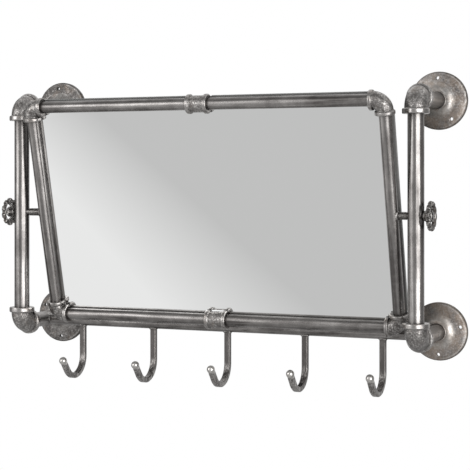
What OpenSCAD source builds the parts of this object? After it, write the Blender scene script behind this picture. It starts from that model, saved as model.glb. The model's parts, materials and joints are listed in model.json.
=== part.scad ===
// Tilting wall mirror in a pipe frame, carried by two wall brackets, with a hook rail below.
// Millimetres. +X to the right, -Y toward the room, +Y into the wall, +Z up.
// Origin: on the wall plane, midway between the four wall plates.

/* [Mirror frame] */
// Width of the frame between the axes of its side pipes
frame_w = 600; // [580:1:760]
// Height of the frame between the axes of its top and bottom pipes
frame_h = 354; // [300:1:400]
// Lean of the frame at rest, top toward the room, in degrees
tilt = 14; // [0:0.5:18]
// Sideways offset of the frame between the brackets
frame_shift = 3.5; // [-3.5:0.1:3.5]
// Outside diameter of the frame pipes
frame_pipe_d = 19; // [17:0.5:21]
// Wall thickness of the frame pipes
frame_pipe_wall = 1.6; // [1.2:0.1:2.2]
// Distance of the bottom coupling to the left of the frame's middle
coupling_off = 5; // [0:0.5:30]

/* [Frame fittings] */
// Wall of a frame elbow or coupling around its pipe
frame_cast_wall = 3.8; // [3:0.1:5]
// Height of the end bead above the casting's body
frame_bead_over = 2.3; // [1:0.1:4]
// Width of the end bead along the pipe
frame_bead_w = 6.75; // [4.5:0.25:8]
// Radius in the throat of the frame elbow
frame_throat = 3.3; // [1:0.1:8]
// Depth of the pipe in a frame fitting
frame_socket = 9.6; // [7:0.1:11]
// Length of a coupling
coupling_len = 36; // [30:1:50]

/* [Mirror] */
// Thickness of the mirror glass
glass_t = 3; // [2:0.5:4]
// Distance from the pipe axes in to the edge of the glass
glass_inset = 7.4; // [6.9:0.1:9]
// Thickness of the back panel
panel_t = 6; // [4:0.5:10]
// Reach of the back panel past the outside of the pipes
panel_lip = 1; // [0:0.1:4]

/* [Wall brackets] */
// Distance between the axes of a side pipe and its bracket pipe
side_gap = 40; // [40:0.5:70]
// Height of the bracket elbows above and below those of the frame
bracket_over = 5; // [4:0.5:20]
// Distance of the bracket pipes from the wall
stand_off = 139; // [120:1:180]
// Outside diameter of the bracket pipes and nipples
bracket_pipe_d = 25; // [23:0.5:26]
// Wall thickness of the bracket pipes and nipples
bracket_pipe_wall = 2; // [1.5:0.1:3]
// Wall of a bracket elbow around its pipe
bracket_cast_wall = 4.9; // [4:0.1:5]
// Height of the end bead above the elbow's body
bracket_bead_over = 3.3; // [1:0.1:3.3]
// Width of the end bead along the pipe
bracket_bead_w = 8.5; // [5:0.5:9]
// Radius in the throat of the bracket elbow
bracket_throat = 1.1; // [1:0.1:8]
// Depth of the pipe in a bracket elbow
bracket_socket = 12; // [8:0.1:12.4]

/* [Wall plates] */
// Diameter of a wall plate
plate_d = 92; // [80:1:110]
// Height of the plate's rim off the wall
plate_rim = 6.5; // [4:0.5:8]
// Height of the plate's hub off the wall
hub_h = 19; // [16:0.5:30]
// Wall of the hub around the nipple at its mouth
hub_wall = 1.9; // [1.5:0.1:3]
// Thickness of the plate's shell
plate_t = 6; // [2.5:0.1:6.5]
// Diameter of the screw holes
screw_hole_d = 5.5; // [4:0.5:7]
// Radius of the circle that the screw holes lie on
screw_circle_r = 36; // [30:0.5:37]

/* [Hook rail] */
// Distance of the rail's axis from the wall
rail_off = 61; // [45:1:70]
// Outside diameter of the rail
rail_d = 19; // [16:0.5:22]
// Distance of the outer hooks from the bracket axes before their weld offsets
hook_inset = 74; // [72:1:110]
// Width of the hook bar, along the rail
hook_w = 10; // [8:0.5:14]
// Thickness of the hook bar
hook_t = 8.5; // [6:0.5:10]
// Bevel on the long edges of the hook bar
hook_bevel = 1.4; // [0.5:0.1:2]
// Length of the hook's straight shaft below the rail's axis
hook_drop = 59.75; // [40:0.25:90]
// Radius of the hook's bend on the middle of the bar
hook_bend_r = 31; // [24:0.5:40]
// Sweep of the hook's bend in degrees
hook_sweep = 142; // [120:1:165]
// Straight run from the bend to the centre of the ball
hook_tip = 21.2; // [12:0.1:30]
// Diameter of the hook's ball
hook_ball_d = 13; // [12.6:0.1:18]

/* [Pivots] */
// Height of the pivot axis above the middle of the brackets
pivot_rise = 3.5; // [0:0.5:8]
// Diameter of the pivot rods
rod_d = 11; // [8:0.5:11]
// Width of the rod's nut across its flats
nut_w = 15; // [13:0.5:16]
// Height of the rod's nut
nut_h = 4.6; // [3:0.1:6]

/* [Handwheels] */
// Outside diameter of a handwheel over its lobes
wheel_d = 46; // [42:0.2:60]
// Thickness of the handwheel's rim
wheel_rim_t = 6.6; // [5:0.1:7]
// Radial width of the rim between the windows and the valleys
wheel_rim_w = 3.7; // [3.5:0.1:5]
// Height of a lobe above the valleys
wheel_lobe_over = 4.3; // [3:0.1:4.5]
// Number of lobes on the rim, two for each spoke
wheel_spokes = 5; // [4:1:6]
// Width of a spoke
wheel_spoke_w = 4; // [3:0.1:6]
// Diameter of the handwheel's hub
wheel_hub_d = 15; // [15:0.5:18]
// Length of the handwheel's hub
wheel_hub_len = 8; // [6:0.5:10]
// Distance from the hub's inner face to the middle of the rim
wheel_dish = 10.6; // [8:0.1:14]

/* [Fits] */
// Gap around a pipe in its socket
socket_gap = 0.1; // [0.05:0.01:0.15]
// Gap around a pivot rod in a bracket pipe and in a handwheel
turn_gap = 0.08; // [0.02:0.01:0.1]
// Gap between moving faces
face_gap = 0.4; // [0.3:0.1:1]
// Gap between the glass or panel and the castings
edge_gap = 0.6; // [0.5:0.1:2]

/* [Hidden] */
$fn = 64;

// Length by which cutters pass the faces they cut
over = 1;
// Step by which the hook's tip is slimmer than its bend
tip_step = 0.05;
// Depth of the flat at each pole of the hook's ball
ball_flat = 0.04;

// Lap of an end bead over the elbow's bend
bead_lap = 0.75;
// Radius of the bead's corners
bead_corner = 2;

// Bracket places
bracket_x = frame_w / 2 + side_gap;
bracket_z = frame_h / 2 + bracket_over;
bracket_pipe_r = bracket_pipe_d / 2;
bracket_bore_r = bracket_pipe_r - bracket_pipe_wall;
bracket_body_r = bracket_pipe_r + bracket_cast_wall;
bracket_bend = bracket_body_r + bracket_throat;
bracket_face = bracket_bend + bracket_bead_w - bead_lap;
bracket_stop = bracket_face - bracket_socket;

// Frame places, in the frame's own axes about the pivot
frame_pipe_r = frame_pipe_d / 2;
frame_bore_r = frame_pipe_r - frame_pipe_wall;
frame_body_r = frame_pipe_r + frame_cast_wall;
frame_bead_r = frame_body_r + frame_bead_over;
frame_bend = frame_body_r + frame_throat;
frame_face = frame_bend + frame_bead_w - bead_lap;
frame_stop = frame_face - frame_socket;
// Width of the stop between the pipes in a coupling
coupling_rib = 2;

// Glass and panel, from the plane of the pipe axes toward the back
panel_front = frame_pipe_r + socket_gap;
glass_front = panel_front - glass_t;
glass_notch = sqrt(pow(frame_bead_r, 2) - pow(glass_front, 2)) + edge_gap;
panel_notch = sqrt(pow(frame_bead_r, 2) - pow(panel_front, 2)) + edge_gap;

// Wall plate
plate_r = plate_d / 2;
hub_r = bracket_pipe_r + hub_wall;
// Rounding of the plate's rim
plate_edge = 2.4;
// Width of the rim that lies on the wall
plate_skirt = 4;
// Share of the dome's height that it gains next to the rim
plate_swell = 0.28;
// Least gap between the shell and the wall
plate_relief = 0.6;
// Sleeve behind the hub: its wall and its gap to the wall
sleeve_wall = 5;
sleeve_r = bracket_pipe_r + sleeve_wall;
sleeve_lift = 1;
// Height of the nipple's seat off the wall
nipple_seat = 6;

// Screw hole angles on each wall plate, seen from the room
holes_top_left = [98.6, 218.6, 338.6];
holes_top_right = [92, 199, 306];
holes_bottom_left = [30, 150, 270];
holes_bottom_right = [13.6, 141.8, 270];

// Hooks, evenly spaced between the outer two
hook_pitch = (bracket_x - hook_inset) / 2;

// Weld offset of each hook from the even pitch
hook_weld = [-0.5, 0.5, 2, 3.5, -0.5];

// Wall thickness of the rail
rail_wall = 1.6;

// Pivot rods, from inside the side pipes to just past their nuts
rod_r = rod_d / 2;
rod_end_play = 0.1;
rod_past_nut = 1.2;
rod_in = sqrt(pow(frame_bore_r - rod_end_play, 2) - pow(rod_r, 2));
wheel_seat = bracket_x + bracket_pipe_r + face_gap;
nut_seat = wheel_seat + wheel_hub_len + face_gap;
rod_out = nut_seat + nut_h + rod_past_nut;

// Handwheel
wheel_r = wheel_d / 2;
wheel_valley_r = wheel_r - wheel_lobe_over;
wheel_window_r = wheel_valley_r - wheel_rim_w;
wheel_lobes = 2 * wheel_spokes;
wheel_lobe_r = 3.8;
// Height of a lobe that the round rim trims off
wheel_trim = 0.3;
// Conical web of the spokes: its thickness, its height off the hub's face and its lap into the hub
wheel_web_t = 3;
wheel_web_lift = 0.6;
wheel_web_lap = 1;
// Turn of each handwheel as photographed, in degrees
wheel_turn_left = -90;
wheel_turn_right = 67;

// Colours
cast_grey = [0.42, 0.41, 0.39];
pipe_grey = [0.52, 0.51, 0.49];
wheel_grey = [0.24, 0.23, 0.22];
glass_grey = [0.82, 0.83, 0.83];
panel_grey = [0.36, 0.35, 0.34];

// ---- Shared shapes ----

// Pipe from z = 0 to z = len
module pipe(r, wall, len) {
    difference() {
        cylinder(r = r, h = len);
        translate([0, 0, -over]) cylinder(r = r - wall, h = len + 2 * over);
    }
}

// Disc from z = 0 to z = w with its corners rounded
module bead(r, w) {
    rotate_extrude() union() {
        square([r - bead_corner, w]);
        translate([0, bead_corner]) square([r, w - 2 * bead_corner]);
        translate([r - bead_corner, bead_corner]) circle(r = bead_corner);
        translate([r - bead_corner, w - bead_corner]) circle(r = bead_corner);
    }
}

// Beaded elbow. Its legs leave along -X and -Y from the crossing of their axes.
module elbow(body_r, bead_r, face, bend, stop, pipe_r, bore_r) {
    bead_w = face - bend + bead_lap;
    difference() {
        union() {
            translate([-bend, -bend, 0]) rotate_extrude(angle = 90) translate([bend, 0]) circle(r = body_r);
            translate([0, bead_lap - bend, 0]) rotate([90, 0, 0]) bead(bead_r, bead_w);
            translate([bead_lap - bend, 0, 0]) rotate([0, -90, 0]) bead(bead_r, bead_w);
        }
        translate([-bend, -bend, 0]) rotate_extrude(angle = 90) translate([bend, 0]) circle(r = bore_r);
        translate([0, -stop, 0]) rotate([90, 0, 0]) cylinder(r = pipe_r + socket_gap, h = face);
        translate([-stop, 0, 0]) rotate([0, -90, 0]) cylinder(r = pipe_r + socket_gap, h = face);
    }
}

// Beaded coupling around the X axis, centred on its pipe stop
module coupling() {
    rotate([0, 90, 0]) difference() {
        union() {
            translate([0, 0, -coupling_len / 2]) bead(frame_bead_r, frame_bead_w);
            translate([0, 0, coupling_len / 2 - frame_bead_w]) bead(frame_bead_r, frame_bead_w);
            cylinder(r = frame_body_r, h = coupling_len - frame_bead_w, center = true);
        }
        cylinder(r = frame_bore_r, h = coupling_len + 2 * over, center = true);
        for (side = [-1, 1]) {
            translate([0, 0, side * (coupling_rib / 2 + coupling_len / 2)])
                cylinder(r = frame_pipe_r + socket_gap, h = coupling_len, center = true);
        }
    }
}

// Height of the wall plate's dome, from its rim (t = 0) to its hub (t = 1)
function dome(t) = plate_rim
    + (hub_h - plate_rim) * (plate_swell * (1 - pow(1 - t, 3)) + (1 - plate_swell) * pow(t, 5));
function dome_r(t) = plate_r - plate_edge - t * (plate_r - plate_edge - hub_r);
function dome_t(r) = (plate_r - plate_edge - r) / (plate_r - plate_edge - hub_r);

// Domed wall plate around the Z axis, its back on z = 0, with an open hub for the nipple
module wall_plate(holes) {
    rim_arc = [
        for (a = [0 : 15 : 75]) [plate_r - plate_edge * (1 - cos(a)), plate_rim - plate_edge * (1 - sin(a))]
    ];
    outside = [for (i = [1 : 16]) [dome_r(i / 16), dome(i / 16)]];
    cavity_out = plate_r - plate_skirt;
    inside = [
        for (i = [0 : 8])
            let (r = sleeve_r + i / 8 * (cavity_out - sleeve_r)) [r, max(plate_relief, dome(dome_t(r)) - plate_t)]
    ];
    hub = [
        [bracket_pipe_r + socket_gap, hub_h],
        [bracket_pipe_r + socket_gap, nipple_seat],
        [bracket_bore_r, nipple_seat],
        [bracket_bore_r, sleeve_lift],
        [sleeve_r, sleeve_lift]
    ];
    difference() {
        rotate_extrude() polygon(concat([[plate_r, 0]], rim_arc, outside, hub, inside, [[cavity_out, 0]]));
        for (a = holes) {
            rotate([0, 0, a]) translate([screw_circle_r, 0, -over])
                cylinder(d = screw_hole_d, h = hub_h + 2 * over);
        }
    }
}

// Section of the hook bar, less a step all round: x across its thickness, y across its width
module hook_section(step) {
    x = hook_t / 2 - step;
    y = hook_w / 2 - step;
    b = hook_bevel;
    polygon([[x, y - b], [x - b, y], [b - x, y], [-x, y - b], [-x, b - y], [b - x, -y], [x - b, -y], [x, b - y]]);
}

// Ball at the hook's tip: a round profile with a tiny flat at each pole, turned about the bar's axis
module hook_ball() {
    rotate_extrude() intersection() {
        circle(d = hook_ball_d);
        translate([0, ball_flat - hook_ball_d / 2]) square([hook_ball_d, hook_ball_d - 2 * ball_flat]);
    }
}

// Hook number i, welded under the rail: shaft, bend, tip and ball
module hook(i) {
    x = (i - 3) * hook_pitch + hook_weld[i - 1];
    difference() {
        translate([x, -rail_off - hook_bend_r, -bracket_z - hook_drop]) rotate([-90, 0, 90]) {
            translate([hook_bend_r, 0, 0]) rotate([90, 0, 0]) linear_extrude(hook_drop) hook_section(0);
            rotate_extrude(angle = hook_sweep) translate([hook_bend_r, 0]) hook_section(0);
            rotate([0, 0, hook_sweep]) translate([hook_bend_r, -over, 0]) {
                rotate([-90, 0, 0]) linear_extrude(hook_tip + over) hook_section(tip_step);
                translate([0, hook_tip + over, 0]) rotate([90, 0, 0]) hook_ball();
            }
        }
        translate([x, -rail_off, -bracket_z]) rotate([0, 90, 0])
            cylinder(r = rail_d / 2 + socket_gap, h = 2 * hook_w, center = true);
    }
}

// Outline of the handwheel's rim, with a valley on the X axis
module lobed_outline() {
    circle(r = wheel_valley_r);
    for (k = [1 : wheel_lobes]) {
        rotate((k + 0.5) * 360 / wheel_lobes) translate([wheel_r + wheel_trim - wheel_lobe_r, 0])
            circle(r = wheel_lobe_r);
    }
}

// Handwheel around the Z axis: hub face on z = 0, rim dished toward +Z
module handwheel() {
    rim_round = wheel_rim_t / 2;
    rim_mid = wheel_window_r + wheel_rim_w / 2;
    web = wheel_dish - wheel_web_t / 2;
    web_in = wheel_hub_d / 2 - wheel_web_lap;
    difference() {
        union() {
            // Scalloped rim: the lobed outline cut to a ring with round edges
            intersection() {
                translate([0, 0, wheel_dish]) rotate_extrude() union() {
                    translate([wheel_window_r + rim_round, 0]) circle(r = rim_round);
                    translate([wheel_window_r + rim_round, -rim_round])
                        square([wheel_r - wheel_window_r - wheel_rim_t, wheel_rim_t]);
                    translate([wheel_r - rim_round, 0]) circle(r = rim_round);
                }
                linear_extrude(wheel_dish + wheel_rim_t) lobed_outline();
            }
            // Spokes: a conical web cut to bars
            intersection() {
                rotate_extrude() polygon([
                    [0, wheel_web_lift],
                    [web_in, wheel_web_lift],
                    [rim_mid, web],
                    [rim_mid, web + wheel_web_t],
                    [web_in, wheel_web_lift + wheel_web_t],
                    [0, wheel_web_lift + wheel_web_t]
                ]);
                for (k = [1 : wheel_spokes]) {
                    rotate([0, 0, k * 360 / wheel_spokes]) translate([0, -wheel_spoke_w / 2, 0])
                        cube([wheel_r, wheel_spoke_w, wheel_dish + wheel_rim_t]);
                }
            }
            cylinder(d = wheel_hub_d, h = wheel_hub_len);
        }
        translate([0, 0, -over]) cylinder(r = rod_r + turn_gap, h = wheel_dish + wheel_rim_t);
    }
}

// ---- Places ----

// Moves a shape from the frame's own axes to its place at rest
module in_frame() {
    translate([frame_shift, -stand_off, pivot_rise]) rotate([tilt, 0, 0]) children();
}

// Mirrors a shape made for the top right to the side and the end given as 1 or -1
module to_corner(side, end) {
    mirror([(1 - side) / 2, 0, 0]) mirror([0, 0, (1 - end) / 2]) children();
}

// Bracket elbow with one leg on the upright pipe and the other on the nipple
module bracket_elbow(side, end) {
    to_corner(side, end) translate([bracket_x, -stand_off, bracket_z]) rotate([0, -90, 180])
        elbow(bracket_body_r, bracket_body_r + bracket_bead_over, bracket_face, bracket_bend, bracket_stop,
            bracket_pipe_r, bracket_bore_r);
}

// Frame elbow with its legs toward the frame's middle
module frame_elbow(side, end) {
    in_frame() to_corner(side, end) translate([frame_w / 2, 0, frame_h / 2]) rotate([90, 0, 0])
        elbow(frame_body_r, frame_bead_r, frame_face, frame_bend, frame_stop, frame_pipe_r, frame_bore_r);
}

module nipple(side, end) {
    translate([side * bracket_x, -nipple_seat, end * bracket_z]) rotate([90, 0, 0])
        pipe(bracket_pipe_r, bracket_pipe_wall, stand_off - bracket_stop - nipple_seat);
}

module plate(side, end, holes) {
    translate([side * bracket_x, 0, end * bracket_z]) rotate([90, 0, 0]) wall_plate(holes);
}

module bracket_pipe(side) {
    translate([side * bracket_x, -stand_off, 0]) difference() {
        translate([0, 0, bracket_stop - bracket_z])
            pipe(bracket_pipe_r, bracket_pipe_wall, 2 * (bracket_z - bracket_stop));
        translate([0, 0, pivot_rise]) rotate([0, 90, 0])
            cylinder(r = rod_r + turn_gap, h = bracket_pipe_d + 2 * over, center = true);
    }
}

module side_pipe(side) {
    in_frame() translate([side * frame_w / 2, 0, 0]) difference() {
        translate([0, 0, frame_stop - frame_h / 2])
            pipe(frame_pipe_r, frame_pipe_wall, frame_h - 2 * frame_stop);
        rotate([0, side * 90, 0]) cylinder(r = rod_r + socket_gap, h = frame_pipe_d);
    }
}

// Frame pipe from the corner on one side to the coupling at x = middle
module cross_pipe(side, end, middle) {
    from = side * (frame_w / 2 - frame_stop);
    to = middle + side * coupling_rib / 2;
    in_frame() translate([min(from, to), 0, end * frame_h / 2]) rotate([0, 90, 0])
        pipe(frame_pipe_r, frame_pipe_wall, abs(from - to));
}

// Outline of the glass or the panel: reach past the pipe axes, cleared round the castings
module sheet(reach, notch) {
    difference() {
        square([frame_w + 2 * reach, frame_h + 2 * reach], center = true);
        for (sx = [-1, 1], sz = [-1, 1]) {
            translate([sx * frame_w / 2, sz * frame_h / 2]) {
                square([2 * (frame_face + edge_gap), 2 * notch], center = true);
                square([2 * notch, 2 * (frame_face + edge_gap)], center = true);
            }
        }
        for (middle = [[0, frame_h / 2], [-coupling_off, -frame_h / 2]]) {
            translate(middle) square([coupling_len + 2 * edge_gap, 2 * notch], center = true);
        }
    }
}

module pivot_rod(side) {
    from = side * frame_w / 2 + frame_shift - side * rod_in;
    translate([from, -stand_off, pivot_rise]) rotate([0, side * 90, 0])
        cylinder(r = rod_r, h = abs(side * rod_out - from));
}

module rod_nut(side) {
    translate([side * nut_seat, -stand_off, pivot_rise]) rotate([0, side * 90, 0]) difference() {
        cylinder(d = nut_w / cos(30), h = nut_h, $fn = 6);
        translate([0, 0, -over]) cylinder(r = rod_r + socket_gap, h = nut_h + 2 * over);
    }
}

module placed_handwheel(side, turn) {
    translate([side * wheel_seat, -stand_off, pivot_rise]) rotate([0, side * 90, 0]) rotate([0, 0, turn])
        handwheel();
}

// ---- Sub-parts ----

module plate_top_left() { color(cast_grey) plate(-1, 1, holes_top_left); }
module plate_top_right() { color(cast_grey) plate(1, 1, holes_top_right); }
module plate_bottom_left() { color(cast_grey) plate(-1, -1, holes_bottom_left); }
module plate_bottom_right() { color(cast_grey) plate(1, -1, holes_bottom_right); }
module nipple_top_left() { color(pipe_grey) nipple(-1, 1); }
module nipple_top_right() { color(pipe_grey) nipple(1, 1); }
module nipple_bottom_left() { color(pipe_grey) nipple(-1, -1); }
module nipple_bottom_right() { color(pipe_grey) nipple(1, -1); }
module elbow_top_left() { color(cast_grey) bracket_elbow(-1, 1); }
module elbow_top_right() { color(cast_grey) bracket_elbow(1, 1); }
module elbow_bottom_left() { color(cast_grey) bracket_elbow(-1, -1); }
module elbow_bottom_right() { color(cast_grey) bracket_elbow(1, -1); }
module bracket_pipe_left() { color(pipe_grey) bracket_pipe(-1); }
module bracket_pipe_right() { color(pipe_grey) bracket_pipe(1); }

// Rail between the lower nipples, its ends cut to fit round them
module hook_rail() {
    color(pipe_grey) difference() {
        translate([-bracket_x, -rail_off, -bracket_z]) rotate([0, 90, 0])
            pipe(rail_d / 2, rail_wall, 2 * bracket_x);
        for (side = [-1, 1]) {
            translate([side * bracket_x, over, -bracket_z]) rotate([90, 0, 0])
                cylinder(r = bracket_pipe_r + socket_gap, h = stand_off);
        }
    }
}

module hook_1() { color(pipe_grey) hook(1); }
module hook_2() { color(pipe_grey) hook(2); }
module hook_3() { color(pipe_grey) hook(3); }
module hook_4() { color(pipe_grey) hook(4); }
module hook_5() { color(pipe_grey) hook(5); }
module frame_elbow_top_left() { color(cast_grey) frame_elbow(-1, 1); }
module frame_elbow_top_right() { color(cast_grey) frame_elbow(1, 1); }
module frame_elbow_bottom_left() { color(cast_grey) frame_elbow(-1, -1); }
module frame_elbow_bottom_right() { color(cast_grey) frame_elbow(1, -1); }
module side_pipe_left() { color(pipe_grey) side_pipe(-1); }
module side_pipe_right() { color(pipe_grey) side_pipe(1); }
module top_pipe_left() { color(pipe_grey) cross_pipe(-1, 1, 0); }
module top_pipe_right() { color(pipe_grey) cross_pipe(1, 1, 0); }
module bottom_pipe_left() { color(pipe_grey) cross_pipe(-1, -1, -coupling_off); }
module bottom_pipe_right() { color(pipe_grey) cross_pipe(1, -1, -coupling_off); }

module coupling_top() {
    color(cast_grey) in_frame() translate([0, 0, frame_h / 2]) coupling();
}

module coupling_bottom() {
    color(cast_grey) in_frame() translate([-coupling_off, 0, -frame_h / 2]) coupling();
}

// Glass on the front of the panel, behind the plane of the pipe axes
module mirror_glass() {
    color(glass_grey) in_frame() translate([0, panel_front, 0]) rotate([90, 0, 0])
        linear_extrude(glass_t) sheet(-glass_inset, glass_notch);
}

// Panel against the back of the pipes
module back_panel() {
    color(panel_grey) in_frame() translate([0, panel_front + panel_t, 0]) rotate([90, 0, 0])
        linear_extrude(panel_t) sheet(frame_pipe_r + panel_lip, panel_notch);
}

module pivot_rod_left() { color(pipe_grey) pivot_rod(-1); }
module pivot_rod_right() { color(pipe_grey) pivot_rod(1); }
module rod_nut_left() { color(wheel_grey) rod_nut(-1); }
module rod_nut_right() { color(wheel_grey) rod_nut(1); }
module handwheel_left() { color(wheel_grey) placed_handwheel(-1, wheel_turn_left); }
module handwheel_right() { color(wheel_grey) placed_handwheel(1, wheel_turn_right); }

plate_top_left();
plate_top_right();
plate_bottom_left();
plate_bottom_right();
nipple_top_left();
nipple_top_right();
nipple_bottom_left();
nipple_bottom_right();
elbow_top_left();
elbow_top_right();
elbow_bottom_left();
elbow_bottom_right();
bracket_pipe_left();
bracket_pipe_right();
hook_rail();
hook_1();
hook_2();
hook_3();
hook_4();
hook_5();
frame_elbow_top_left();
frame_elbow_top_right();
frame_elbow_bottom_left();
frame_elbow_bottom_right();
side_pipe_left();
side_pipe_right();
top_pipe_left();
top_pipe_right();
bottom_pipe_left();
bottom_pipe_right();
coupling_top();
coupling_bottom();
mirror_glass();
back_panel();
pivot_rod_left();
pivot_rod_right();
rod_nut_left();
rod_nut_right();
handwheel_left();
handwheel_right();
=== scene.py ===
"""Looks of a tilting pipe-frame wall mirror with hooks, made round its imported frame."""

import contextlib
import json
import math

import bmesh
import bpy
import numpy as np
from bpy.props import FloatProperty, FloatVectorProperty, PointerProperty
from mathutils import Matrix, Vector

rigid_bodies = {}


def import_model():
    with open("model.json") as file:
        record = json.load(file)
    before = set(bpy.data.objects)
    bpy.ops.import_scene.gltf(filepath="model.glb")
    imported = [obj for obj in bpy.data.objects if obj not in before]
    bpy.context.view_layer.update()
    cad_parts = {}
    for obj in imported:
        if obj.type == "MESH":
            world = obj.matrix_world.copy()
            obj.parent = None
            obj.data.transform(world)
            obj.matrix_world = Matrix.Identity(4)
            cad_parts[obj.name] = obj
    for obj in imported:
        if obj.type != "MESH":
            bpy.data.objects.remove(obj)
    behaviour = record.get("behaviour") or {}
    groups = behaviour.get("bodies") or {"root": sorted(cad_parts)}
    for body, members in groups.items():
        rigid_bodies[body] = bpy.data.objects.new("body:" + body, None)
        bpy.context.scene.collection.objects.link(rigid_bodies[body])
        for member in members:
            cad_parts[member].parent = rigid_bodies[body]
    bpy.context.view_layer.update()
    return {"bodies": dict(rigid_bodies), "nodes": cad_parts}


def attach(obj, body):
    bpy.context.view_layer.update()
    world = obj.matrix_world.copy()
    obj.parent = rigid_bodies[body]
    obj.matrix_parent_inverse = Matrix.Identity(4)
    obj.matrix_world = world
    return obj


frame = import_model()

bl_info = {
    "name": "Pipe mirror with hooks",
    "version": (1, 0, 0),
    "blender": (4, 5, 0),
    "location": "View3D > Sidebar > Mirror",
    "description": "Finishes, small fittings and studio for a tilting pipe-frame mirror",
    "category": "Object",
}

CORNERS = [(row, side) for row in ("top", "bottom") for side in ("left", "right")]
SIDES = {"left": -1, "right": 1}

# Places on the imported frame, in metres
LEAN = math.radians(14)
PIVOT = Vector((0.0035, -0.139, 0.0035))
IN_FRAME = Matrix.Translation(PIVOT) @ Matrix.Rotation(LEAN, 4, "X")
BRACKET = Vector((0.340, -0.139, 0.182))
RAIL = Vector((0, -0.061, -0.182))
HOOKS_X = (-0.2665, -0.1325, 0.002, 0.1365, 0.2655)
# Height where a hook's bowl starts, and the ball's place in side view
HOOK_BOWL = (-0.238, -0.1295, -0.2441)

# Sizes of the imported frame
FRAME_HALF_W = 0.300
FRAME_HALF_H = 0.177
PANEL_BACK = 0.0156
BRACKET_PIPE_R = 0.0125
FRAME_PIPE_R = 0.0095
RAIL_R = 0.0095
ROD_R = 0.0055
HOOK_HALF = Vector((0.0050, 0.00425))
# From an elbow's corner to where its bead starts
BRACKET_BEAD = 0.0175
FRAME_BEAD = 0.0159
# A coupling's half length, the width of its bead, and how far left the bottom one sits
COUPLING_HALF = 0.018
COUPLING_BEAD_W = 0.0066
COUPLING_SHIFT = 0.005
# Radii on a wall plate: its throat, the ridge of its rim and the start of its flank
PLATE_THROAT = 0.0205
PLATE_RIDGE = 0.0428
PLATE_FLANK = 0.0440


# ---------------------------------------------------------------- settings


class MirrorSizes(bpy.types.PropertyGroup):
    """Sizes of the small fittings that dress the frame."""

    weld_r: FloatProperty(
        name="Weld bead", description="Radius of a weld bead", default=0.0016, unit="LENGTH"
    )
    weld_lump: FloatProperty(
        name="Weld lumps",
        description="Height of the lumps on a weld bead",
        default=0.0012,
        unit="LENGTH",
    )
    thread_pitch: FloatProperty(
        name="Thread pitch",
        description="Pitch of the thread on the pivot rods",
        default=0.0018,
        unit="LENGTH",
    )
    thread_depth: FloatProperty(
        name="Thread depth",
        description="Depth of the thread on the pivot rods",
        default=0.0007,
        unit="LENGTH",
    )
    screw_r: FloatProperty(
        name="Panel screw",
        description="Radius of a panel screw's head",
        default=0.0042,
        unit="LENGTH",
    )
    screw_h: FloatProperty(
        name="Screw height",
        description="Height of a panel screw's head",
        default=0.0022,
        unit="LENGTH",
    )


def colour_setting(name, description, default):
    return FloatVectorProperty(
        name=name, description=description, default=default, subtype="COLOR", size=3, min=0, max=1
    )


class MirrorFinish(bpy.types.PropertyGroup):
    """Colours of the finishes."""

    steel_light: colour_setting("Light steel", "Rubbed areas of the steel", (0.42, 0.402, 0.39))
    steel_dark: colour_setting("Dark steel", "Patina on the steel", (0.115, 0.107, 0.103))
    # Colour of worn, rubbed steel, also used for painted highlights on the wall plates and hook
    # bowls
    steel_worn_and_sheen: colour_setting("Worn steel", "Edges rubbed bright", (0.72, 0.70, 0.67))
    # Colour of soot stains on the pipes, also used for painted shade in corners and crevices
    soot_and_shade: colour_setting("Soot", "Dirt in the corners", (0.035, 0.031, 0.029))
    rust: colour_setting("Brown patina", "Thin brown oxide on the castings", (0.34, 0.27, 0.215))
    silver: colour_setting("Silvering", "Mirror's reflecting layer", (0.92, 0.925, 0.92))
    glass_edge: colour_setting("Glass edge", "Ground edge of the glass", (0.20, 0.27, 0.25))
    board: colour_setting("Back board", "Paint on the back board", (0.27, 0.27, 0.262))


class StudioSettings(bpy.types.PropertyGroup):
    """Camera, lamps and floor of the studio."""

    key: FloatProperty(
        name="Key", description="Brightness of the large soft lamp", default=3.0, min=0
    )
    fill: FloatProperty(
        name="Fill", description="Brightness of the far soft lamp", default=2.3, min=0
    )
    ambient: FloatProperty(
        name="Ambient", description="Light from all round on matt parts", default=0.35, min=0
    )
    drop: FloatProperty(
        name="Floor drop",
        description="Depth of the floor below the mirror's middle",
        default=1.6,
        unit="LENGTH",
    )
    lens: FloatProperty(
        name="Lens", description="Focal length on a 36 mm sensor", default=107.5, unit="CAMERA"
    )
    shift: FloatProperty(
        name="Shift", description="Upward shift of the camera's window", default=-0.1213
    )


# ---------------------------------------------------------------- finishes


class Signal:
    """An output socket of a finish; arithmetic on it adds Math nodes."""

    def __init__(self, finish, socket):
        self.finish = finish
        self.socket = socket

    def math(self, operation, *terms):
        inputs = dict(enumerate(terms))
        return self.finish.node("ShaderNodeMath", {"operation": operation}, inputs)["Value"]

    def __add__(self, other):
        return self.math("ADD", self, other)

    __radd__ = __add__

    def __sub__(self, other):
        return self.math("SUBTRACT", self, other)

    def __rsub__(self, other):
        return self.math("SUBTRACT", other, self)

    def __mul__(self, other):
        return self.math("MULTIPLY", self, other)

    __rmul__ = __mul__

    def __truediv__(self, other):
        return self.math("DIVIDE", self, other)

    def __abs__(self):
        return self.math("ABSOLUTE", self)


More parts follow.
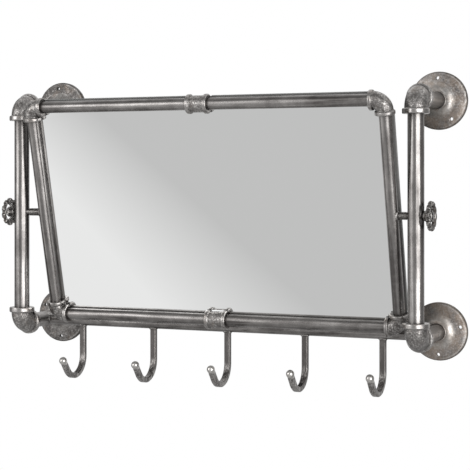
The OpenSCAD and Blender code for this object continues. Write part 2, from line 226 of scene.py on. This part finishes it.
class Finish:
    """A material or a world, built node by node."""

    def __init__(self, holder):
        holder.use_nodes = True
        self.holder = holder
        self.tree = holder.node_tree
        self.tree.nodes.clear()

    def node(self, kind, settings=None, inputs=None):
        """Adds a node, sets it, feeds its sockets, and gives its outputs by name."""
        made = self.tree.nodes.new(kind)
        for key, value in (settings or {}).items():
            setattr(made, key, value)
        for key, value in (inputs or {}).items():
            if isinstance(value, Signal):
                self.tree.links.new(value.socket, made.inputs[key])
            else:
                made.inputs[key].default_value = value
        return {socket.name: Signal(self, socket) for socket in made.outputs if socket.enabled}

    def clamp(self, value):
        return self.node("ShaderNodeClamp", {}, {"Value": value})["Result"]

    def noise(self, vector, scale, detail=3.0, roughness=0.55):
        """Noise centred on zero, about -0.3 to 0.3."""
        inputs = {"Vector": vector, "Scale": scale, "Detail": detail, "Roughness": roughness}
        return self.node("ShaderNodeTexNoise", {}, inputs)["Fac"] - 0.5

    def mix(self, factor, a, b):
        """Colour a where factor is 0, b where it is 1."""
        pads = {0: factor, 6: padded_colour(a), 7: padded_colour(b)}
        return self.node("ShaderNodeMix", {"data_type": "RGBA"}, pads)["Result"]

    def place(self, vector, scale=(1, 1, 1), turn=(0, 0, 0), shift=(0, 0, 0)):
        inputs = {"Vector": vector, "Scale": scale, "Rotation": turn, "Location": shift}
        return self.node("ShaderNodeMapping", {}, inputs)["Vector"]

    def dot(self, a, b):
        inputs = {0: a, 1: b}
        return self.node("ShaderNodeVectorMath", {"operation": "DOT_PRODUCT"}, inputs)["Value"]

    def length(self, vector):
        return self.node("ShaderNodeVectorMath", {"operation": "LENGTH"}, {0: vector})["Value"]

    def bump(self, height, normal=None):
        """Normal for a height in metres."""
        inputs = {"Height": height, "Distance": 1.0, "Strength": 1.0}
        if normal is not None:
            inputs["Normal"] = normal
        return self.node("ShaderNodeBump", {}, inputs)["Normal"]

    def surface(self, **values):
        names = {key.replace("_", " ").title(): value for key, value in values.items()}
        names["Specular IOR Level"] = names.pop("Specular", 0.5)
        return self.node("ShaderNodeBsdfPrincipled", {}, names)["BSDF"]

    def glow(self, colour):
        inputs = {"Color": colour, "Strength": 1.0}
        return self.node("ShaderNodeEmission", {}, inputs)["Emission"]

    def blend(self, factor, a, b):
        """Shader a where factor is 0, b where it is 1."""
        return self.node("ShaderNodeMixShader", {}, {0: factor, 1: a, 2: b})["Shader"]

    def output(self, shader, kind="ShaderNodeOutputMaterial"):
        self.node(kind, {}, {"Surface": shader})
        return self.holder


def padded_colour(colour):
    return colour if isinstance(colour, Signal) else (*colour, 1.0)


def new_finish(name):
    return Finish(bpy.data.materials.new(name))


made_finishes = {}


def finish_of(name, build, **settings):
    """The finish of that name, built the first time it is asked for."""
    if name not in made_finishes:
        made_finishes[name] = build(name, **settings)
    return made_finishes[name]


def occlusion_shade(f, reach):
    """Painted shade from ambient occlusion: 0 in the open, 1 deep in a corner."""
    inputs = {"Distance": reach}
    settings = {"samples": 6, "inside": False, "only_local": False}
    return 1 - f.node("ShaderNodeAmbientOcclusion", settings, inputs)["AO"]


def rubbed_edges(f, radius, gain):
    """Rounded normal at the edges, and 1 on the edges that hands and cloths rub bright."""
    rounded = f.node("ShaderNodeBevel", {"samples": 6}, {"Radius": radius})["Normal"]
    normal = f.node("ShaderNodeNewGeometry")["Normal"]
    return rounded, f.clamp((1 - f.dot(rounded, normal)) * gain)


def tube_steel(name, along, lean=0.0, shade=1.0, rough_low=0.20, bowl=None):
    """Drawn steel with lengthwise streaks under a thin dark patina.

    A hook gives the height where its bowl starts, with a painted sheen on its down-facing faces and
    painted shade on its up-facing faces, and the place of its polished ball in side view.
    """
    colours = bpy.context.scene.mirror_finish
    f = new_finish(name)
    coordinates = f.node("ShaderNodeTexCoord")
    place = coordinates["Object"]
    straight = f.place(place, turn=(-lean, 0, 0))

    def drawn(across, length):
        return f.place(straight, scale=tuple(length if axis == along else across for axis in "XYZ"))

    cloud = f.noise(straight, 22.0, 4.0, 0.6)
    patch = f.noise(straight, 110.0, 4.0, 0.62)
    band = f.noise(drawn(150.0, 6.0), 1.0, 2.0, 0.5)
    streak = f.noise(drawn(430.0, 16.0), 1.0, 3.0, 0.55)
    tone = 0.46 * shade + 1.3 * cloud + 0.5 * patch + 1.5 * band + 0.9 * streak
    rubbed = 0.0
    if bowl:
        start, ball_y, ball_z = bowl
        low = f.clamp((start - f.dot(place, (0, 0, 1))) / 0.012)
        # Painted sheen: 1 on the bowl's down-facing faces, falling to 0 where they face up
        painted_sheen_below = f.clamp(0.7 - 2.0 * f.dot(coordinates["Normal"], (0, 0, 1)))
        scuffs = f.noise(drawn(700.0, 60.0), 1.0, 3.0, 0.6)
        side = f.place(place, scale=(0, 1, 1), shift=(0, -ball_y, -ball_z))
        ball = f.clamp((0.0072 - f.length(side)) / 0.0005)
        # Scuffs rubbed bright, with a little of the painted sheen
        scuffed = f.clamp(painted_sheen_below * 0.08 + 4.0 * scuffs + patch)
        rubbed = f.clamp(low * scuffed + ball * (0.7 + patch))
        # Painted light on the bowl: lighter where it faces down, darker where it faces up, plus
        # scuffs
        tone = tone + low * (0.9 * painted_sheen_below - 0.4 + 2.0 * scuffs)
        rough_low = rough_low - 0.11 * ball
    tone = f.clamp(tone)
    stain = f.clamp(3.0 * f.noise(drawn(70.0, 22.0), 1.0, 4.0, 0.6) - 0.35)
    # Painted shade in the corners, from ambient occlusion
    corner = f.clamp(occlusion_shade(f, 0.012) * 1.2)
    rounded, edge = rubbed_edges(f, 0.0008, 2.5)
    colour = f.mix(tone, colours.steel_dark, colours.steel_light)
    colour = f.mix(stain * 0.7, colour, colours.soot_and_shade)
    colour = f.mix(f.clamp(edge + rubbed), colour, colours.steel_worn_and_sheen)
    # Darkens the colour with painted shade in the corners
    colour = f.mix(corner * 0.8, colour, colours.soot_and_shade)
    rough = f.clamp(rough_low + 0.10 * (1 - tone) + 0.18 * stain + 0.08 * corner)
    wave = f.noise(drawn(26.0, 9.0), 1.0, 1.0, 0.5) * 0.0022
    height = wave + streak * 0.000012 + patch * 0.00003
    normal = f.bump(height, rounded)
    return f.output(f.surface(base_color=colour, roughness=rough, metallic=1.0, normal=normal))


def cast_steel(
    name, shade=1.0, grain=1.0, rough_low=0.22, worn=1.0, collars=(), axis=None, brown=0.0
):
    """Cast malleable iron: grainy skin, painted shade in the hollows, and rubbed bright on the high
    places.

    Each collar is a smooth machined band: a direction, a plane's place along it, the distance from
    that plane where the band starts, and 1 for the band beyond it or -1 for the band within it.
    A wall plate gives its axis: it has faint turned rings, a painted highlight on its rim's ridge
    toward the lit side and round its throat, and painted shade on its flank.
    """
    colours = bpy.context.scene.mirror_finish
    f = new_finish(name)
    place = f.node("ShaderNodeTexCoord")["Object"]
    cloud = f.noise(place, 34.0, 4.0, 0.6)
    patch = f.noise(place, 160.0, 4.0, 0.62)
    grit = f.noise(place, 420.0, 3.0, 0.65)
    tone = 0.46 * shade + 1.3 * cloud + 1.4 * patch + 1.6 * grit
    # Painted shade in the corners, from ambient occlusion
    corner = f.clamp(occlusion_shade(f, 0.008) * 1.5)
    rounded, edge = rubbed_edges(f, 0.0022, 2.4 * worn)
    rust = f.clamp(4.0 * f.noise(place, 60.0, 5.0, 0.65) - 0.2 + brown)
    speck = f.clamp(8.0 * grit + 3.0 * patch - 0.35)
    polish_and_highlight = f.clamp(edge * 1.2 + speck * 0.8)
    skin = grain
    for direction, middle, limit, way in collars:
        distance = abs(f.dot(place, direction) - middle)
        band = f.clamp((distance - limit) * (way / 0.0006))
        tone = tone + band * (0.35 + patch * 0.8 - 1.0 * grit)
        polish_and_highlight = f.clamp(polish_and_highlight - band * speck * 0.6 + band * edge * 0.6)
        skin = skin * (1 - 0.75 * band)
    if axis:
        flat = f.place(place, scale=(1, 0, 1), shift=(-axis[0], 0, -axis[1]))
        radius = f.length(flat)
        spread = {"X": radius * 420.0, "Y": cloud * 1.2}
        rings = f.noise(f.node("ShaderNodeCombineXYZ", {}, spread)["Vector"], 1.0, 2.0)
        # Painted light: 0 on the plate's left, rising to 1 toward its right, where the light falls
        lit_side = f.clamp(0.3 + (f.dot(place, (1, 0, 0)) - axis[0]) / 0.03)
        tone = 0.46 * shade + 1.6 * cloud + 1.3 * patch + 1.6 * grit + 0.8 * rings
        # Painted highlight along the rim's ridge on the lit side
        ridge = f.clamp(1 - abs(radius - PLATE_RIDGE) / 0.0011) * lit_side
        # Painted shade on the rim's outer flank
        flank = f.clamp((radius - PLATE_FLANK) / 0.0007)
        # Painted highlight in a ring round the throat
        throat = f.clamp(1 - abs(radius - PLATE_THROAT) / 0.0085)
        polish_and_highlight = edge * 0.3 + speck * 0.25 + ridge * (0.45 + patch * 2.0)
        polish_and_highlight = f.clamp(polish_and_highlight + throat * (0.4 + patch))
        # The flank's painted shade joins the occlusion shade
        corner = f.clamp(corner + flank * 0.5)
    tone = f.clamp(tone)
    colour = f.mix(tone, colours.steel_dark, colours.steel_light)
    colour = f.mix(rust * 0.6, colour, colours.rust)
    colour = f.mix(polish_and_highlight, colour, colours.steel_worn_and_sheen)
    # Darkens the colour with painted shade in corners and on the plates' flanks
    colour = f.mix(corner * 0.9, colour, colours.soot_and_shade)
    rough = rough_low + 0.22 * (1 - tone) + 0.2 * grit
    rough = f.clamp(rough - 0.10 * polish_and_highlight + 0.12 * corner + 0.1 * rust)
    height = (patch * 0.00045 + grit * 0.00026) * skin + cloud * 0.0008
    normal = f.bump(height, rounded)
    return f.output(f.surface(base_color=colour, roughness=rough, metallic=1.0, normal=normal))


def mirror_glass_finish(name):
    """Silvered front with a faint haze, and a ground grey-green edge."""
    colours = bpy.context.scene.mirror_finish
    f = new_finish(name)
    coordinates = f.node("ShaderNodeTexCoord")
    front = IN_FRAME.to_3x3() @ Vector((0, -1, 0))
    on_front = f.clamp((f.dot(coordinates["Normal"], tuple(front)) - 0.9) * 20)
    haze = f.noise(coordinates["Object"], 6.0, 3.0)
    sheen = f.clamp(0.004 + haze * 0.004)
    silver = f.surface(base_color=(*colours.silver, 1), roughness=sheen, metallic=1.0)
    grind = f.noise(coordinates["Object"], 900.0, 2.0)
    edge_colour = f.mix(f.clamp(0.5 + grind * 1.5), colours.glass_edge, colours.steel_light)
    edge = f.surface(base_color=edge_colour, roughness=f.clamp(0.22 + grind * 0.2), metallic=0.0)
    return f.output(f.blend(on_front, edge, silver))


def painted_board(name):
    """Hard board with a rolled grey paint that shows the fibres at its edges."""
    colours = bpy.context.scene.mirror_finish
    f = new_finish(name)
    place = f.node("ShaderNodeTexCoord")["Object"]
    fibre = f.noise(f.place(place, scale=(60.0, 900.0, 60.0), turn=(-LEAN, 0, 0)), 1.0, 3.0)
    roll = f.noise(place, 420.0, 3.0, 0.6)
    smudge = f.noise(place, 9.0, 4.0, 0.6)
    tone = f.clamp(0.5 + fibre * 0.5 + roll * 0.5 + smudge * 0.9)
    shadow = tuple(channel * 0.72 for channel in colours.board)
    lit = tuple(min(1.0, channel * 1.25) for channel in colours.board)
    colour = f.mix(tone, shadow, lit)
    # Painted shade in the corners, from ambient occlusion
    colour = f.mix(f.clamp(occlusion_shade(f, 0.010)) * 0.7, colour, colours.soot_and_shade)
    rough = f.clamp(0.56 + roll * 0.3 + smudge * 0.1)
    normal = f.bump(roll * 0.00012 + fibre * 0.00006)
    return f.output(f.surface(base_color=colour, roughness=rough, metallic=0.0, normal=normal))


# Finish of the frame's elbows and couplings
SMALL_CASTING = {"build": cast_steel, "shade": 0.9, "grain": 1.4, "worn": 1.3}
# Tone and brown of each wall plate: the right ones are painted lighter, standing in for the light
# on them, and are browner
PLATE_LIGHT_AND_BROWN = {
    ("top", "left"): (0.3, 0.2),
    ("bottom", "left"): (0.3, 0.2),
    ("top", "right"): (1.1, 0.75),
    ("bottom", "right"): (1.1, 1.0),
}


def weld_finish():
    return finish_of("weld_bead", cast_steel, shade=1.1, rough_low=0.26, worn=1.5)


def dress(node, material):
    """Gives a CAD node its finish."""
    data = frame["nodes"][node].data
    data.materials.clear()
    data.materials.append(material)


# ---------------------------------------------------------------- modelling helpers


def pick(obj):
    bpy.ops.object.select_all(action="DESELECT")
    obj.select_set(True)
    bpy.context.view_layer.objects.active = obj
    return obj


def added(primitive, **settings):
    """The object that a primitive's operator makes, with nothing selected before it."""
    bpy.ops.object.select_all(action="DESELECT")
    primitive(**settings)
    return bpy.context.object


@contextlib.contextmanager
def editing(obj):
    """Edit mode on one object, with its bmesh."""
    pick(obj)
    bpy.ops.object.mode_set(mode="EDIT")
    yield bmesh.from_edit_mesh(obj.data)
    bpy.ops.object.mode_set(mode="OBJECT")


def choose(mesh, faces):
    """Selects those faces and nothing else."""
    bpy.ops.mesh.select_all(action="DESELECT")
    bpy.ops.mesh.select_mode(type="FACE")
    for face in faces:
        face.select_set(True)
    mesh.select_flush_mode()


def settle(obj):
    """Puts the object's place into its mesh."""
    pick(obj)
    bpy.ops.object.transform_apply(location=True, rotation=True, scale=True)
    return obj


def apply_all(obj):
    pick(obj)
    for modifier in list(obj.modifiers):
        bpy.ops.object.modifier_apply(modifier=modifier.name)


def reshape(obj, move):
    """Moves every vertex by a function of the array of places."""
    data = obj.data
    places = np.empty(len(data.vertices) * 3)
    data.vertices.foreach_get("co", places)
    data.vertices.foreach_set("co", move(places.reshape(-1, 3)).ravel())
    data.update()


def lumps(obj, size, height):
    """Raises soft lumps on a mesh."""
    texture = bpy.data.textures.new("lumps", "CLOUDS")
    texture.noise_scale = size
    modifier = obj.modifiers.new("lumps", "DISPLACE")
    modifier.texture = texture
    modifier.strength = height
    modifier.mid_level = 0.5
    apply_all(obj)


def finished(obj, name, body, material):
    """Names a finished piece, gives it its finish, and puts it on its body."""
    pick(obj)
    bpy.ops.object.shade_smooth()
    obj.name = name
    obj.data.name = name
    obj.data.materials.clear()
    obj.data.materials.append(material)
    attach(obj, body)
    return obj


def copied(obj, matrix):
    """A copy with its own mesh, moved in the mesh."""
    twin = obj.copy()
    twin.data = obj.data.copy()
    bpy.context.scene.collection.objects.link(twin)
    twin.data.transform(matrix)
    if matrix.determinant() < 0:
        twin.data.flip_normals()
    return twin


def ring(major, minor):
    return added(
        bpy.ops.mesh.primitive_torus_add,
        major_radius=major,
        minor_radius=minor,
        major_segments=64,
        minor_segments=12,
    )


def saddle_bead(bar_r, pipe_r, bead_r, lump):
    """Weld bead round a bar along Z where it meets a pipe along X through the origin."""
    bead = ring(bar_r + 0.3 * bead_r, bead_r)

    def drape(places):
        out = places.copy()
        out[:, 2] += np.sqrt(np.maximum(pipe_r**2 - places[:, 1] ** 2, 0))
        return out

    reshape(bead, drape)
    lumps(bead, 0.004, lump)
    return bead


def facing(x, y, z, place):
    """Matrix that sends the axes X, Y and Z to those directions and the origin to that place."""
    turned = Matrix((x, y, z)).transposed().to_4x4()
    return Matrix.Translation(place) @ turned


# ---------------------------------------------------------------- operators


class MIRROR_OT_pipes(bpy.types.Operator):
    """Streaked steel on the bracket pipes, frame pipes, nipples and hook rail"""

    bl_idname = "mirror.pipes"
    bl_label = "Pipes"

    def execute(self, context):
        upright = finish_of("upright_tube", tube_steel, along="Z", shade=0.9)
        leaning = finish_of("leaning_tube", tube_steel, along="Z", lean=LEAN, shade=0.8)
        level = finish_of("level_tube", tube_steel, along="X", shade=0.8)
        # The nipples are painted lighter than the other pipes, standing in for the light on them
        inward = finish_of("nipple_tube", tube_steel, along="Y", shade=1.3, rough_low=0.32)
        for side in SIDES:
            dress("bracket_pipe_" + side, upright)
            dress("side_pipe_" + side, leaning)
            dress("top_pipe_" + side, level)
            dress("bottom_pipe_" + side, level)
        for row, side in CORNERS:
            dress(f"nipple_{row}_{side}", inward)
        dress("hook_rail", level)
        return {"FINISHED"}


class MIRROR_OT_castings(bpy.types.Operator):
    """Grainy cast iron on the elbows, couplings and wall plates"""

    bl_idname = "mirror.castings"
    bl_label = "Castings"

    def execute(self, context):
        collars = [
            ((0, 0, 1), 0.0, BRACKET.z - BRACKET_BEAD, -1),
            ((0, 1, 0), BRACKET.y, BRACKET_BEAD, 1),
        ]
        elbow = finish_of("elbow_casting", cast_steel, shade=1.1, grain=1.5, collars=collars)
        upward = tuple(IN_FRAME.to_3x3() @ Vector((0, 0, 1)))
        collars = [
            ((1, 0, 0), PIVOT.x, FRAME_HALF_W - FRAME_BEAD, -1),
            (upward, PIVOT.dot(upward), FRAME_HALF_H - FRAME_BEAD, -1),
        ]
        small = finish_of("frame_casting", collars=collars, **SMALL_CASTING)
        for row, side in CORNERS:
            dress(f"elbow_{row}_{side}", elbow)
            dress(f"frame_elbow_{row}_{side}", small)
            shade, brown = PLATE_LIGHT_AND_BROWN[row, side]
            plate = finish_of(
                f"plate_{row}_{side}",
                cast_steel,
                shade=shade,
                grain=0.6,
                rough_low=0.28,
                axis=(SIDES[side] * BRACKET.x, BRACKET.z if row == "top" else -BRACKET.z),
                brown=brown,
            )
            dress(f"plate_{row}_{side}", plate)
        for row, middle in (("top", PIVOT.x), ("bottom", PIVOT.x - COUPLING_SHIFT)):
            collars = [((1, 0, 0), middle, COUPLING_HALF - COUPLING_BEAD_W, 1)]
            dress("coupling_" + row, finish_of("coupling_" + row, collars=collars, **SMALL_CASTING))
        return {"FINISHED"}


class MIRROR_OT_hooks(bpy.types.Operator):
    """Steel on the hooks, and the weld beads that join them to the rail"""

    bl_idname = "mirror.hooks"
    bl_label = "Hooks"

    def execute(self, context):
        sizes = context.scene.mirror_sizes
        bar = finish_of(
            "hook_bar", tube_steel, along="Z", shade=-0.1, rough_low=0.23, bowl=HOOK_BOWL
        )
        for number in range(1, len(HOOKS_X) + 1):
            dress(f"hook_{number}", bar)
        weld = weld_finish()
        ring_r = 0.0056
        bead = ring(ring_r, sizes.weld_r)
        # Radius round the rail's axis on which the beads lie, and how closely they follow the bar
        seat_r = 0.0098
        hug = 0.93

        def wrap(places):
            """From a round ring to one that hugs the bar and lies on the rail."""
            out = places.copy()
            angle = np.arctan2(places[:, 1], places[:, 0])
            reach = np.hypot(places[:, 0], places[:, 1]) - ring_r
            along = np.abs(np.cos(angle)) / HOOK_HALF.x
            across = np.abs(np.sin(angle)) / HOOK_HALF.y
            corner = 1 / np.maximum(along, across) * hug + ring_r * (1 - hug)
            out[:, 0] = np.cos(angle) * (corner + reach)
            out[:, 1] = np.sin(angle) * (corner + reach)
            out[:, 2] = places[:, 2] - np.sqrt(seat_r**2 - out[:, 1] ** 2)
            return out

        reshape(bead, wrap)
        lumps(bead, 0.004, sizes.weld_lump)
        for number, x in enumerate(HOOKS_X, 1):
            spin = Matrix.Rotation(math.pi * (number % 2), 4, "Z")
            twin = copied(bead, Matrix.Translation((x, RAIL.y, RAIL.z)) @ spin)
            finished(twin, f"hook_weld_{number}", "wall_bracket", weld)
        bpy.data.objects.remove(bead)
        joint = saddle_bead(RAIL_R, BRACKET_PIPE_R, sizes.weld_r, sizes.weld_lump)
        for side, sign in SIDES.items():
            place = (sign * BRACKET.x, RAIL.y, RAIL.z)
            matrix = facing((0, sign, 0), (0, 0, 1), (-sign, 0, 0), place)
            finished(copied(joint, matrix), f"rail_weld_{side}", "wall_bracket", weld)
        bpy.data.objects.remove(joint)
        scar = added(bpy.ops.mesh.primitive_uv_sphere_add, segments=32, ring_count=16, radius=1.0)
        scar.scale = (0.0011, 0.0019, 0.0044)
        settle(scar)
        lumps(scar, 0.003, 0.0012)
        # On the lower right nipple's outer side, level with the rail
        matrix = Matrix.Translation((BRACKET.x + 0.0124, RAIL.y + 0.011, RAIL.z))
        finished(copied(scar, matrix), "weld_scar", "wall_bracket", weld)
        bpy.data.objects.remove(scar)
        return {"FINISHED"}


class MIRROR_OT_glass(bpy.types.Operator):
    """Silvered glass, the painted back board and the screws that hold it to the pipes"""

    bl_idname = "mirror.glass"
    bl_label = "Glass and back board"

    def execute(self, context):
        sizes = context.scene.mirror_sizes
        dress("mirror_glass", finish_of("silvered_glass", mirror_glass_finish))
        dress("back_panel", finish_of("painted_board", painted_board))
        screw = settle(
            added(
                bpy.ops.mesh.primitive_cylinder_add,
                vertices=32,
                radius=sizes.screw_r,
                depth=sizes.screw_h,
                location=(0, 0, sizes.screw_h / 2),
            )
        )
        with editing(screw) as mesh:
            choose(mesh, [face for face in mesh.faces if face.normal.z > 0.9])
            bpy.ops.mesh.inset(thickness=sizes.screw_r * 0.22)
            bpy.ops.mesh.inset(thickness=sizes.screw_r * 0.30)
            bpy.ops.transform.translate(value=(0, 0, sizes.screw_h * 0.12))
            bpy.ops.mesh.inset(thickness=sizes.screw_r * 0.16)
            bpy.ops.transform.translate(value=(0, 0, -sizes.screw_h * 0.6))
        bevel = screw.modifiers.new("round", "BEVEL")
        bevel.width = 0.0004
        bevel.segments = 2
        bevel.limit_method = "ANGLE"
        apply_all(screw)
        zinc = finish_of("screw_head", cast_steel, shade=0.7, grain=0.3)
        back = Matrix.Rotation(math.radians(-90), 4, "X")
        # Two screws in each side pipe, and two along the top and along the bottom
        spots = [(x, z) for x in (-FRAME_HALF_W, FRAME_HALF_W) for z in (-0.100, 0.100)]
        spots += [(x, z) for x in (-0.170, 0.170) for z in (-FRAME_HALF_H, FRAME_HALF_H)]
        for number, (x, z) in enumerate(spots, 1):
            matrix = IN_FRAME @ Matrix.Translation((x, PANEL_BACK, z)) @ back
            finished(copied(screw, matrix), f"panel_screw_{number}", "mirror_frame", zinc)
        bpy.data.objects.remove(screw)
        return {"FINISHED"}


class MIRROR_OT_pivots(bpy.types.Operator):
    """Dark threaded pivot rods with their nuts, welded to the side pipes"""

    bl_idname = "mirror.pivots"
    bl_label = "Pivots"

    def execute(self, context):
        sizes = context.scene.mirror_sizes
        rod = finish_of("pivot_rod", tube_steel, along="X", shade=0.3)
        nut = finish_of("rod_nut", cast_steel, shade=0.7, grain=0.4)
        crest = finish_of(
            "rod_thread", cast_steel, shade=0.6, grain=0.8, rough_low=0.2, worn=1.5
        )
        weld = weld_finish()
        # Where the thread starts, from the frame's middle, and ends, from the brackets' middle
        thread_start, thread_end = 0.3105, 0.3266
        joint = saddle_bead(ROD_R, FRAME_PIPE_R, sizes.weld_r * 0.9, sizes.weld_lump)
        for side, sign in SIDES.items():
            dress("pivot_rod_" + side, rod)
            dress("rod_nut_" + side, nut)
            outward = ((0, 0, -sign), (0, 1, 0), (sign, 0, 0))
            matrix = IN_FRAME @ facing(*outward, (sign * FRAME_HALF_W, 0, 0))
            finished(copied(joint, matrix), f"rod_weld_{side}", "mirror_frame", weld)
            start = PIVOT.x + sign * thread_start
            thread = self.thread(abs(sign * thread_end - start), sizes)
            matrix = facing(*outward, (start, PIVOT.y, PIVOT.z))
            finished(copied(thread, matrix), f"rod_thread_{side}", "mirror_frame", crest)
            bpy.data.objects.remove(thread)
        bpy.data.objects.remove(joint)
        return {"FINISHED"}

    def thread(self, length, sizes):
        """Helical ridge of a coarse thread round the Z axis."""
        pitch = sizes.thread_pitch
        ridge = added(bpy.ops.mesh.primitive_circle_add, vertices=3, radius=1.0)

        def profile(places):
            out = np.zeros_like(places)
            around = places[:, :2] - places[:, :2].mean(axis=0)
            out[:, 0] = ROD_R + around[:, 1] * sizes.thread_depth
            out[:, 2] = pitch / 2 + around[:, 0] * pitch * 0.5
            return out

        reshape(ridge, profile)
        screw = ridge.modifiers.new("helix", "SCREW")
        screw.axis = "Z"
        screw.screw_offset = pitch
        screw.iterations = int((length - pitch) / pitch)
        screw.steps = screw.render_steps = 40
        screw.use_smooth_shade = False
        apply_all(ridge)
        with editing(ridge):
            bpy.ops.mesh.select_all(action="SELECT")
            bpy.ops.mesh.fill_holes(sides=3)
            bpy.ops.mesh.normals_make_consistent(inside=False)
        return ridge


class MIRROR_OT_handwheels(bpy.types.Operator):
    """Dark cast iron on the handwheels"""

    bl_idname = "mirror.handwheels"
    bl_label = "Handwheels"

    def execute(self, context):
        wheel = finish_of(
            "wheel_casting", cast_steel, shade=-0.3, grain=1.6, rough_low=0.24, worn=1.3
        )
        for side in SIDES:
            dress("handwheel_" + side, wheel)
        return {"FINISHED"}


UPRIGHT = math.radians(90)
FLAT = (0, 0, 0)
ACROSS = (UPRIGHT, 0, 0)
ASIDE = (UPRIGHT, 0, UPRIGHT)
# Name, place, turn, size and level of each reflector card
CARDS = (
    ("card_left", (-1.8, 0.5, 0.0), ASIDE, (2.2, 2.6), 0.32),
    ("card_right", (1.8, 0.45, 0.0), ASIDE, (2.2, 2.6), 0.28),
    ("card_back", (1.3, 2.2, 0.0), ACROSS, (1.9, 2.6), 0.60),
    ("card_middle", (0.0, 0.36, 0.08), ASIDE, (0.66, 0.54), 0.03),
    ("card_front", (0.2, -5.2, 0.65), ACROSS, (3.6, 3.7), 0.50),
    ("card_top_front", (0.0, -0.7, 1.05), FLAT, (3.4, 1.0), 0.38),
    ("card_top_back", (0.0, 0.4, 1.05), FLAT, (3.4, 1.2), 0.85),
    ("card_under", (0.0, -0.85, -0.95), FLAT, (3.0, 0.8), 0.52),
    ("card_low", (0.0, 0.45, -0.70), FLAT, (2.6, 1.5), 0.42),
)
# Point that the lamps face
AIM = Vector((0.0, -0.10, 0.0))
# Camera as fitted to the photo
CAMERA_PLACE = (0.9027, -2.1701, 0.0601)
CAMERA_TURN = (UPRIGHT, 0, math.radians(22.83))


class MIRROR_OT_studio(bpy.types.Operator):
    """Floor, reflector cards, lamps, world and camera"""

    bl_idname = "mirror.studio"
    bl_label = "Studio"

    def execute(self, context):
        studio = context.scene.mirror_studio
        self.floor(studio.drop)
        for card in CARDS:
            self.card(*card)
        self.lamp("key_lamp", (3.62, -2.82, 0.0), (4.3, 3.2), studio.key)
        self.lamp("fill_lamp", (-3.20, -4.00, 1.00), (2.4, 2.4), studio.fill)
        self.world(studio.ambient)
        self.camera(studio)
        context.scene.view_settings.view_transform = "Standard"
        return {"FINISHED"}

    def shown_rays(self, f):
        """1 for rays of the camera and for those that metal and glass send out."""
        path = f.node("ShaderNodeLightPath")
        return f.clamp(
            path["Is Camera Ray"] + path["Is Glossy Ray"] + path["Is Transmission Ray"]
        )

    def floor(self, drop):
        floor = settle(
            added(
                bpy.ops.mesh.primitive_circle_add,
                vertices=128,
                radius=6.0,
                fill_type="NGON",
                location=(0, 0, -drop),
            )
        )
        floor.name = "floor"
        f = new_finish("pale_floor")
        place = f.node("ShaderNodeTexCoord")["Object"]
        axes = f.node("ShaderNodeSeparateXYZ", {}, {0: place})
        # Lighter toward the back left, which gives the mirror its slanting gradient
        dark, light = (0.60,) * 3, (0.92,) * 3
        slope = f.clamp((axes["Y"] - axes["X"] + 1.517) / 0.63)
        # White near the rim
        far = f.clamp((f.length(place) - 5.0) / 0.6)
        level = f.mix(far, f.mix(slope, dark, light), (1.0,) * 3)
        matt = f.surface(base_color=level, roughness=0.9, specular=0.1)
        shown = self.shown_rays(f) * (0.85 + 0.15 * far)
        floor.data.materials.append(f.output(f.blend(shown, matt, f.glow(level))))

    def card(self, name, place, turn, size, level):
        """A panel that only reflections see."""
        card = added(bpy.ops.mesh.primitive_plane_add, size=1, location=place, rotation=turn)
        card.scale = (*size, 1)
        settle(card).name = name
        f = new_finish(name)
        card.data.materials.append(f.output(f.glow((level, level, level, 1))))
        card.visible_camera = False
        card.visible_diffuse = False
        card.visible_shadow = False
        card.visible_transmission = False

    def lamp(self, name, place, size, level):
        """A soft lamp of that width and height, level times as bright as white."""
        data = bpy.data.lights.new(name, "AREA")
        data.shape = "RECTANGLE"
        data.size, data.size_y = size
        data.energy = level * math.pi * size[0] * size[1]
        lamp = bpy.data.objects.new(name, data)
        bpy.context.scene.collection.objects.link(lamp)
        lamp.location = place
        lamp.rotation_euler = (AIM - Vector(place)).to_track_quat("-Z", "Y").to_euler()
        lamp.visible_camera = False

    def world(self, ambient):
        world = bpy.data.worlds.new("studio")
        bpy.context.scene.world = world
        f = Finish(world)

        def white(strength):
            inputs = {"Color": (1, 1, 1, 1), "Strength": strength}
            return f.node("ShaderNodeBackground", {}, inputs)["Background"]

        mixed = f.blend(self.shown_rays(f), white(ambient), white(1.0))
        f.output(mixed, "ShaderNodeOutputWorld")

    def camera(self, studio):
        data = bpy.data.cameras.new("camera")
        data.lens = studio.lens
        data.sensor_width = 36.0
        data.shift_y = studio.shift
        camera = bpy.data.objects.new("camera", data)
        bpy.context.scene.collection.objects.link(camera)
        camera.location = CAMERA_PLACE
        camera.rotation_euler = CAMERA_TURN
        bpy.context.scene.camera = camera


class MIRROR_PT_panel(bpy.types.Panel):
    """Steps that dress the mirror"""

    bl_idname = "MIRROR_PT_panel"
    bl_label = "Pipe mirror"
    bl_space_type = "VIEW_3D"
    bl_region_type = "UI"
    bl_category = "Mirror"

    def draw(self, context):
        for step in STEPS:
            self.layout.operator(step.bl_idname)
        for group in GROUPS:
            settings = getattr(context.scene, group)
            box = self.layout.box()
            for name in settings.__annotations__:
                box.prop(settings, name)


STEPS = (
    MIRROR_OT_pipes,
    MIRROR_OT_castings,
    MIRROR_OT_hooks,
    MIRROR_OT_glass,
    MIRROR_OT_pivots,
    MIRROR_OT_handwheels,
    MIRROR_OT_studio,
)
GROUPS = {
    "mirror_sizes": MirrorSizes,
    "mirror_finish": MirrorFinish,
    "mirror_studio": StudioSettings,
}
CLASSES = (*GROUPS.values(), *STEPS, MIRROR_PT_panel)


def register():
    for cls in CLASSES:
        bpy.utils.register_class(cls)
    for name, group in GROUPS.items():
        setattr(bpy.types.Scene, name, PointerProperty(type=group))


def unregister():
    for name in GROUPS:
        delattr(bpy.types.Scene, name)
    for cls in reversed(CLASSES):
        bpy.utils.unregister_class(cls)


def main():
    kept = {*frame["nodes"].values(), *frame["bodies"].values()}
    for obj in list(bpy.data.objects):
        if obj not in kept:
            bpy.data.objects.remove(obj)
    register()
    for step in STEPS:
        group, name = step.bl_idname.split(".")
        getattr(getattr(bpy.ops, group), name)()


if __name__ == "__main__":
    main()
